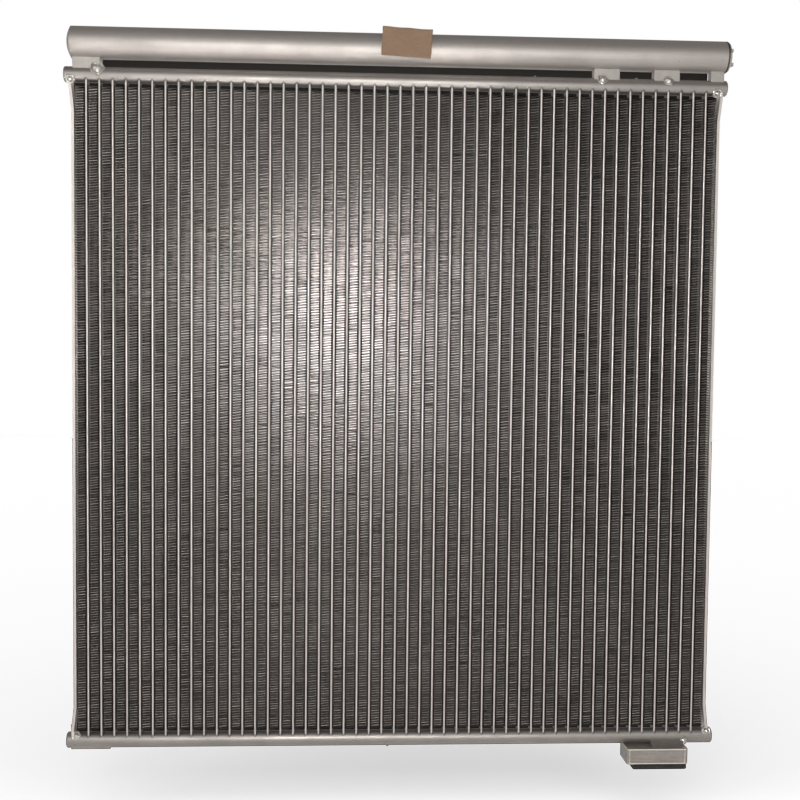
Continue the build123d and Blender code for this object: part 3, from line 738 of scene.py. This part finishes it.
def mount_place(name):
    """Where the record puts a mount."""
    return Vector(next(m["pos_m"] for m in frame["record"]["mounts"] if m["name"] == name))


OUTLET_PORT = mount_place("outlet_port")
OUTLET_STUD = mount_place("outlet_stud_hole")

braze_collars("upper_braze_collars", UPPER_Z, -1, rng)
braze_collars("lower_braze_collars", LOWER_Z, 1, rng)
weld_beads("bridge_beads", "bridge_weld_beads", 4.5 * MM, rng, left_size=1.3)
weld_beads("corner_beads", "corner_weld_beads", 4.0 * MM, rng)
weld_beads("block_bead", "block_weld_bead", 3.3 * MM, rng)
curled_tag()
moulded_cap(rng)
sewn_bag()


def soften(node, width):
    """Round a CAD piece's sharp edges, inside its own shape."""
    piece = frame["nodes"][node]
    piece.modifiers.new("weld", "WELD").merge_threshold = 1e-6
    bevel = piece.modifiers.new("soft edges", "BEVEL")
    bevel.width = width
    bevel.segments = 2
    bevel.limit_method = "ANGLE"
    bevel.angle_limit = math.radians(40)


soften("outlet_block", 0.6 * MM)
for node in ("outlet_saddle", "inlet_block"):
    soften(node, 0.35 * MM)
for node in ("bracket_left", "bracket_right", "transfer_block_in", "transfer_block_out"):
    soften(node, 0.4 * MM)


# ---------------------------------------------------------------- light and stage
SOFT_WHITE = (1.0, 0.985, 0.965)


def area_light(name, place, target, size, power, shadow=True):
    """A soft white rectangle of light that looks from its place to a target; the power is in watts."""
    data = bpy.data.lights.new(name, "AREA")
    data.use_shadow = shadow
    data.shape = "RECTANGLE"
    data.size, data.size_y = size
    data.energy = power
    data.color = SOFT_WHITE
    light = bpy.data.objects.new(name, data)
    light.location = place
    light.rotation_euler = (Vector(target) - Vector(place)).to_track_quat("-Z", "Y").to_euler()
    bpy.context.scene.collection.objects.link(light)
    return light


CORE_MIDDLE = (0, 0, (LOWER_Z + UPPER_Z) / 2)
area_light("key", (-0.45, -1.5, 1.05), (-0.15, 0, 0.6), (0.7, 0.3), 2.2)
area_light("side light", (-2.0, -1.0, 1.2), CORE_MIDDLE, (1.4, 1.2), 8)
area_light("fill", (1.3, -1.6, 1.0), (0.1, 0, 0.5), (0.8, 0.8), 3.4)
# a lamp beside the lens throws no shadow that the camera sees
area_light("lamp by the camera", (-0.06, -1.16, 0.425), (-0.05, 0, 0.39), (0.07, 0.07), 5.7, False)
# a low strip with a grid lights the receiver's lower half and leaves the core alone
strip = area_light("low strip", (-0.15, -0.5, 0.05), (-0.15, 0, RECEIVER_Z), (0.5, 0.05), 0.021, False)
strip.data.spread = math.radians(9)

# room brightness by height: 0 is straight down, 0.5 the horizon and 1 straight up
ROOM_LEVELS = [(0.0, 0.80), (0.2, 0.58), (0.34, 0.14), (0.5, 0.13), (0.72, 0.20), (0.9, 0.16), (1.0, 0.14)]
ROOM_TINT = (1.0, 0.96, 0.92)


def studio_world():
    """White for the camera. Metal shows a grey room, with the white backdrop behind the object."""
    world = bpy.data.worlds.new("studio")
    world.use_nodes = True
    bpy.context.scene.world = world
    n = NodeTree(world.node_tree)
    path = n.add("ShaderNodeLightPath").outputs
    _, y, z = n.split(n.add("ShaderNodeTexCoord").outputs["Generated"])
    room = n.ramp(n.fade(z, -1.0, 1.0), [(place, shade(ROOM_TINT, level)) for place, level in ROOM_LEVELS])
    low_down = n.maths("SUBTRACT", 1.0, n.fade(z, 0.0, 0.3, "SMOOTHSTEP"))
    behind = n.maths("MULTIPLY", n.fade(y, 0.3, 0.8, "SMOOTHSTEP"), low_down)
    seen_in_metal = n.mix(behind, room, (0.85, 0.82, 0.79))
    shiny = n.maths("MAXIMUM", path["Is Glossy Ray"], path["Is Transmission Ray"])
    overhead = n.mix(n.fade(z, 0.1, 0.9, "SMOOTHSTEP"), (0.2, 0.193, 0.186), (0.8, 0.775, 0.745))
    colour = n.mix(path["Is Camera Ray"], n.mix(shiny, overhead, seen_in_metal), (1, 1, 1))
    n.set(n.tree.nodes["Background"], "Color", colour)


studio_world()


def stage_plane(name, corners, material=None):
    """A flat piece of the stage, from its corners in turn."""
    mesh = bpy.data.meshes.new(name)
    mesh.from_pydata(corners, [], [tuple(range(len(corners)))])
    if material:
        mesh.materials.append(material)
    plane = bpy.data.objects.new(name, mesh)
    bpy.context.scene.collection.objects.link(plane)
    return plane


def painted_shade_card():
    """Painted shade: a dark card that shows between the fins from the front, where the core is in shade;
    from behind it can't be seen.
    """
    n = Nodes("painted shade card")
    n.shader.inputs["Specular IOR Level"].default_value = 0.2
    seen_from_behind = n.add("ShaderNodeNewGeometry").outputs["Backfacing"]
    clear = n.add("ShaderNodeBsdfTransparent").outputs[0]
    both = n.add("ShaderNodeMixShader", {0: seen_from_behind, 1: n.shader.outputs[0], 2: clear})
    n.set(n.tree.nodes["Material Output"], "Surface", both.outputs[0])
    return n.finish((0.019, 0.016, 0.0145), 0.6)


def upright(name, outline, y, material):
    """An upright piece of the stage that faces the front and is seen by the camera alone."""
    card = stage_plane(name, [(x, y, z) for x, z in outline], material)
    card.visible_shadow = False
    card.visible_diffuse = False
    card.visible_glossy = False
    card.visible_transmission = False


FLOOR_HALF = 4.0
FLOOR_DROP = 40 * MM            # the cooler hangs above the floor, clear of the dust cap's travel
floor = stage_plane("floor", [(x * FLOOR_HALF, y * FLOOR_HALF, -FLOOR_DROP)
                              for x, y in ((-1, -1), (1, -1), (1, 1), (-1, 1))])
floor.is_shadow_catcher = True
shade_card = painted_shade_card()

PLATE_KICK_LENGTH = 22 * MM     # the side plates' ends bend outward over this length
CARD_TUCK = 1.0 * MM            # the dark shade card reaches this far into the side plates' thickness
CARD_GAP = 0.1 * MM             # from the tubes' back edges to the dark shade card
plate_low, plate_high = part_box("side_plate_right")
near, far = plate_low.x + CARD_TUCK, plate_high.x - CARD_TUCK
right = [(far, LOWER_Z), (far, FIN_BOTTOM), (near, FIN_BOTTOM + PLATE_KICK_LENGTH),
         (near, FIN_TOP - PLATE_KICK_LENGTH), (far, FIN_TOP), (far, UPPER_Z)]
left = [(-x, z) for x, z in reversed(right)]
# painted shade: a dark card behind the core, seen by the camera alone, darkens the gaps between fins and
# tubes
upright("painted shade behind the core", right + left, TUBE_HALF_WIDTH + CARD_GAP, shade_card)

BRACKET_GAP = 1.0 * MM          # from the brackets' backs to the dark shade card
x0, x1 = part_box("bracket_left")[1].x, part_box("bracket_right")[0].x
z0, z1 = UPPER_Z + HEADER_R / 2, RECEIVER_Z - RECEIVER_R * 0.9
gap_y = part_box("bracket_left")[1].y + BRACKET_GAP
# painted shade: the same dark card fills the gap between the upper header and the receiver
upright("painted shade behind the receiver's gap", [(x0, z0), (x1, z0), (x1, z1), (x0, z1)], gap_y, shade_card)
